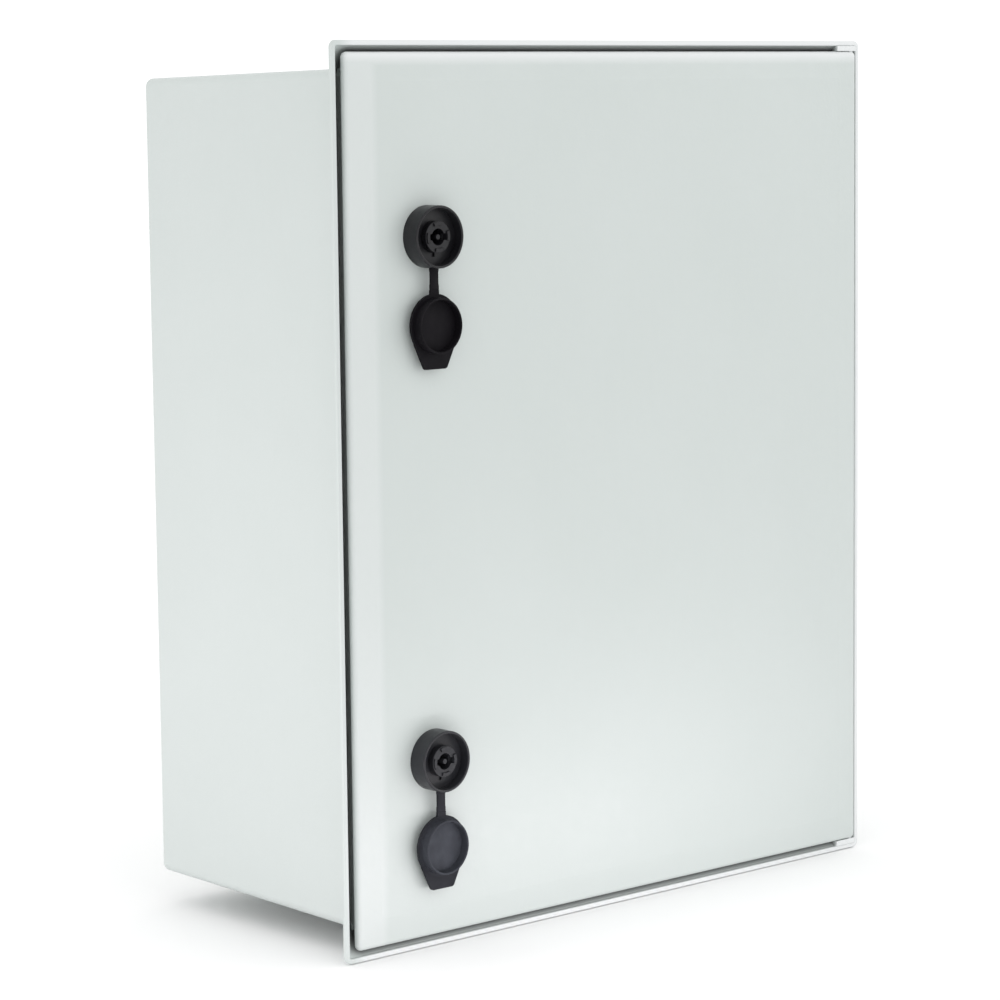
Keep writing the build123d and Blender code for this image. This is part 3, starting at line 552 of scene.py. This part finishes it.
def pick_edges(piece, chosen):
    """Edit mode, with the edges selected that a test on their two ends picks."""
    bpy.ops.object.mode_set(mode="EDIT")
    bpy.ops.mesh.select_mode(type="EDGE")
    bpy.ops.mesh.select_all(action="DESELECT")
    bpy.ops.object.mode_set(mode="OBJECT")
    points = piece.data.vertices
    for edge in piece.data.edges:
        edge.select = chosen(points[edge.vertices[0]].co, points[edge.vertices[1]].co)
    bpy.ops.object.mode_set(mode="EDIT")


def faces_front(normal, centre):
    return normal.y < -0.9


def leave_edit():
    bpy.ops.object.mode_set(mode="OBJECT")


def round_edges(piece, width, steps=2):
    bevel = piece.modifiers.new("rounded", "BEVEL")
    bevel.width = width
    bevel.segments = steps
    bevel.limit_method = "ANGLE"
    bpy.ops.object.modifier_apply(modifier=bevel.name)


def repeat(piece, count, step):
    row = piece.modifiers.new("row", "ARRAY")
    row.count = count
    row.use_relative_offset = False
    row.use_constant_offset = True
    row.constant_offset_displace = step
    bpy.ops.object.modifier_apply(modifier=row.name)


def finish_piece(piece, slot, body=None):
    """Smooth shading, the slot's finish, and the body that carries the piece."""
    leave_edit()
    bpy.ops.object.shade_smooth_by_angle(angle=radians(35))
    piece.data.materials.clear()
    piece.data.materials.append(finishes[slot])
    if body:
        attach(piece, body)
    return piece


# Locks and caps
def cap_strap(lock):
    """Rubber strap, a little narrower in the middle."""
    node = f"{lock}_cap_strap"
    low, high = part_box(node)
    strap = start_block(f"{lock}_strap", low, high)
    pick_edges(strap, lambda a, b: abs(a.z - b.z) > STRAP_WIDTH_MARGIN)
    bpy.ops.mesh.subdivide(number_cuts=STRAP_STEPS)
    middle, reach = (low[2] + high[2]) / 2, (high[2] - low[2]) / 2
    pick_faces(strap, lambda normal, centre: abs(centre.z - middle) < reach * STRAP_WAIST_SHARE)
    bpy.ops.transform.resize(value=(STRAP_WAIST, 1, 1))
    leave_edit()
    round_edges(strap, STRAP_ROUND)
    finish_piece(strap, "cap_rubber")
    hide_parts(node)
    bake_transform(strap)


def key_collar(lock):
    """Four curved lands round the keyhole, standing up from the barrel's front."""
    low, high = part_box(f"{lock}_lock_insert")
    x, z, front = (low[0] + high[0]) / 2, (low[2] + high[2]) / 2, low[1]
    inner, outer = COLLAR_LAND_RADII
    land = start_block(
        f"{lock}_key_collar",
        (x + inner, front - COLLAR_LAND_HEIGHT, z),
        (x + outer, front + COLLAR_LAND_ROOT, z + COLLAR_LAND_ROOT),
    )
    pick_faces(land, lambda normal, centre: normal.z > 0.9)
    bpy.ops.mesh.spin(steps=COLLAR_LAND_STEPS, angle=COLLAR_LAND_TURN, center=(x, front, z), axis=(0, -1, 0))
    leave_edit()
    pieces = [land]
    for quarter in range(1, 4):
        deselect()
        land.select_set(True)
        bpy.context.view_layer.objects.active = land
        bpy.ops.object.duplicate(linked=False)
        copy = bpy.context.object
        bpy.ops.object.mode_set(mode="EDIT")
        bpy.ops.mesh.select_all(action="SELECT")
        bpy.ops.transform.rotate(value=quarter * pi / 2, orient_axis="Y", center_override=(x, front, z))
        leave_edit()
        pieces.append(copy)
    deselect()
    for piece in pieces:
        piece.select_set(True)
    bpy.context.view_layer.objects.active = land
    bpy.ops.object.join()
    bpy.ops.object.mode_set(mode="EDIT")
    bpy.ops.mesh.select_all(action="SELECT")
    bpy.ops.mesh.remove_doubles(threshold=MERGE_DISTANCE)
    bpy.ops.transform.rotate(value=COLLAR_LAND_START, orient_axis="Y", center_override=(x, front, z))
    bpy.ops.mesh.normals_make_consistent(inside=False)
    leave_edit()
    finish_piece(land, "lock_black", f"{lock}_lock")


# What is on the rails
def slotted_screw(name, place, radius):
    """Screw head facing the front, with a driver slot pressed into it."""
    head = start_disc(name, place, radius, radius * SCREW_HEAD_SHARE, SCREW_SIDES)
    pick_faces(head, faces_front)
    bpy.ops.mesh.inset(thickness=radius * SCREW_RIM_SHARE)
    bpy.ops.transform.translate(value=(0, -radius * SCREW_CROWN_SHARE, 0))
    bpy.ops.mesh.inset(thickness=radius * SCREW_RIM_SHARE / 2)
    bpy.ops.transform.resize(value=(1, 1, SCREW_SLOT_SHARE), center_override=place)
    slot_depth = radius * SCREW_SLOT_DEPTH_SHARE
    bpy.ops.mesh.extrude_region_move(TRANSFORM_OT_translate={"value": (0, slot_depth, 0)})
    leave_edit()
    return head


def socket_strip(name, low, high, cells, wall):
    """Connector strip: its front is cut into cells, and each cell is a hole with a sloping edge."""
    strip = start_block(name, low, high)
    half = (high[0] - low[0]) / 2
    pick_edges(strip, lambda a, b: abs(a.x - b.x) > half)
    bpy.ops.mesh.subdivide(number_cuts=cells - 1)
    pick_faces(strip, faces_front)
    bpy.ops.mesh.inset(thickness=wall, use_individual=True)
    socket_depth = (high[1] - low[1]) * SOCKET_DEPTH_SHARE
    bpy.ops.mesh.extrude_region_move(TRANSFORM_OT_translate={"value": (0, socket_depth, 0)})
    bpy.ops.mesh.inset(thickness=wall / 2, use_individual=True)
    leave_edit()
    return strip


def modular_screws(node, poles):
    """Terminal screws of a modular device, a pair for each pole, above and below its nose."""
    low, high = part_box(node)
    shoulder = low[1] + NOSE_DEPTH
    width = (high[0] - low[0]) / poles
    place = (low[0] + width / 2, shoulder, low[2] + MODULE_SCREW_INSET)
    screw = slotted_screw(f"{node}_screws", place, MODULE_SCREW_RADIUS)
    if poles > 1:
        repeat(screw, poles, (width, 0, 0))
    repeat(screw, 2, (0, 0, high[2] - low[2] - 2 * MODULE_SCREW_INSET))
    finish_piece(screw, "plated_steel", "cabinet")


def state_flags(node, slot, poles, rise):
    """Small state windows in a modular device's nose, framed by a step."""
    low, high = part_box(node)
    width = (high[0] - low[0]) / poles
    x, z = low[0] + width / 2, (low[2] + high[2]) / 2 + rise
    half_width, half_height = FLAG_HALF_SIZE
    flag = start_block(
        f"{node}_flags",
        (x - half_width, low[1] - FLAG_HEIGHT, z - half_height),
        (x + half_width, low[1] + FLAG_HEIGHT, z + half_height),
    )
    pick_faces(flag, faces_front)
    bpy.ops.mesh.inset(thickness=FLAG_HEIGHT)
    bpy.ops.transform.translate(value=(0, FLAG_HEIGHT / 2, 0))
    leave_edit()
    if poles > 1:
        repeat(flag, poles, (width, 0, 0))
    finish_piece(flag, slot, "cabinet")


def terminal_details():
    low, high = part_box("terminal_row")
    pitch = (high[0] - low[0]) / TERMINAL_COUNT
    step = low[1] + TERMINAL_STEP
    start = (low[0] + pitch / 2, step, low[2] + TERMINAL_SCREW_INSET)
    screw = slotted_screw("terminal_screws", start, TERMINAL_SCREW_RADIUS)
    repeat(screw, TERMINAL_COUNT, (pitch, 0, 0))
    repeat(screw, 2, (0, 0, high[2] - low[2] - 2 * TERMINAL_SCREW_INSET))
    finish_piece(screw, "plated_steel", "cabinet")

    shelf = (high[2] - low[2] - TERMINAL_CROWN) / 2
    half = TERMINAL_PARTITION / 2
    partition = start_block(
        "terminal_partitions",
        (low[0] - half, step - TERMINAL_PARTITION_RISE, low[2]),
        (low[0] + half, step + half, low[2] + shelf),
    )
    round_edges(partition, half / 2)
    repeat(partition, TERMINAL_COUNT + 1, (pitch, 0, 0))
    repeat(partition, 2, (0, 0, TERMINAL_CROWN + shelf))
    finish_piece(partition, "terminal_beige", "cabinet")

    middle = (low[2] + high[2]) / 2
    margin = (pitch - TERMINAL_TAG_WIDTH) / 2
    tag = start_block(
        "terminal_tags",
        (low[0] + margin, low[1] - TERMINAL_PARTITION, middle - TERMINAL_TAG_HALF),
        (low[0] + pitch - margin, low[1] + TERMINAL_PARTITION, middle + TERMINAL_TAG_HALF),
    )
    round_edges(tag, TERMINAL_PARTITION / 3)
    repeat(tag, TERMINAL_COUNT, (pitch, 0, 0))
    finish_piece(tag, "case_grey", "cabinet")


def supply_details():
    low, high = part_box("power_supply")
    edge = SUPPLY_STRIP_MARGIN
    strip = socket_strip(
        "supply_terminals",
        (low[0] + edge, low[1] - SUPPLY_STRIP_RISE, low[2] + edge),
        (high[0] - edge, low[1] + SUPPLY_STRIP_RISE, low[2] + edge + SUPPLY_STRIP_HEIGHT),
        SUPPLY_STRIP_CELLS,
        SOCKET_WALL,
    )
    finish_piece(strip, "plug_green", "cabinet")
    lamp_place = (high[0] - 2 * edge, low[1], high[2] - 2 * edge)
    lamp = start_disc("supply_lamp", lamp_place, LAMP_RADIUS, 2 * LAMP_RISE, LAMP_SIDES)
    round_edges(lamp, LAMP_RISE / 2, 3)
    finish_piece(lamp, "key_green", "cabinet")


def controller_details():
    low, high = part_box("controller_cover")
    edge = CONTROLLER_STRIP_MARGIN
    strip = socket_strip(
        "controller_sockets",
        (low[0] + edge, low[1] - CONTROLLER_STRIP_RISE, low[2] + edge),
        (high[0] - edge, low[1] + CONTROLLER_STRIP_RISE, low[2] + edge + CONTROLLER_STRIP_HEIGHT),
        CONTROLLER_STRIP_CELLS,
        SOCKET_WALL,
    )
    finish_piece(strip, "plug_green", "cabinet")
    window_low, window_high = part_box("controller_display")
    lamp_z = window_low[2] - LAMP_DROP
    step = (window_high[0] - window_low[0]) / (CONTROLLER_LAMPS - 1)
    lamp_place = (window_low[0], low[1], lamp_z)
    lamp = start_disc("controller_lamps", lamp_place, LAMP_RADIUS, 2 * LAMP_RISE, LAMP_SIDES)
    round_edges(lamp, LAMP_RISE / 2, 3)
    repeat(lamp, CONTROLLER_LAMPS, (step, 0, 0))
    finish_piece(lamp, "lens", "cabinet")


def driver_details():
    """Fuse carriers above the lamps, and the wire entries of the drivers' plugs."""
    low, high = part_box("lamp_driver_1")
    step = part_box("lamp_driver_2")[0][0] - low[0]
    x, z = (low[0] + high[0]) / 2, (low[2] + high[2]) / 2 - FUSE_DROP
    front = low[1]
    fuse = start_disc("driver_fuses", (x, front, z), FUSE_RADIUS, 2 * FUSE_RISE, FUSE_SIDES)
    pick_faces(fuse, faces_front)
    bpy.ops.mesh.inset(thickness=FUSE_RADIUS / 3)
    bpy.ops.transform.resize(value=(1, 1, SCREW_SLOT_SHARE), center_override=(x, front, z))
    bpy.ops.mesh.extrude_region_move(TRANSFORM_OT_translate={"value": (0, FUSE_RISE / 2, 0)})
    leave_edit()
    repeat(fuse, DRIVERS, (step, 0, 0))
    finish_piece(fuse, "case_grey", "cabinet")

    plug_low, plug_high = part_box("driver_plugs")
    width = high[0] - low[0] - 2 * (plug_low[0] - low[0]) - 2 * SOCKET_WALL
    strip_low = (x - width / 2, plug_low[1] - PLUG_FACE_RISE, plug_low[2] + PLUG_FACE_MARGIN)
    strip_high = (x + width / 2, plug_low[1] + PLUG_FACE_RISE, plug_low[2] + PLUG_HEIGHT - PLUG_FACE_MARGIN)
    strip = socket_strip("plug_entries", strip_low, strip_high, PLUG_CELLS, SOCKET_WALL)
    repeat(strip, DRIVERS, (step, 0, 0))
    repeat(strip, 2, (0, 0, plug_high[2] - plug_low[2] - PLUG_HEIGHT))
    finish_piece(strip, "plug_green", "cabinet")


finishes = all_finishes()
dress_frame(finishes)
for lock in LOCKS:
    cap_strap(lock)
    key_collar(lock)
modular_screws("main_breaker", 2)
modular_screws("surge_arrester", 2)
state_flags("main_breaker", "key_red", 2, FLAG_RISE)
terminal_details()
supply_details()
controller_details()
driver_details()
add_studio()
add_camera()
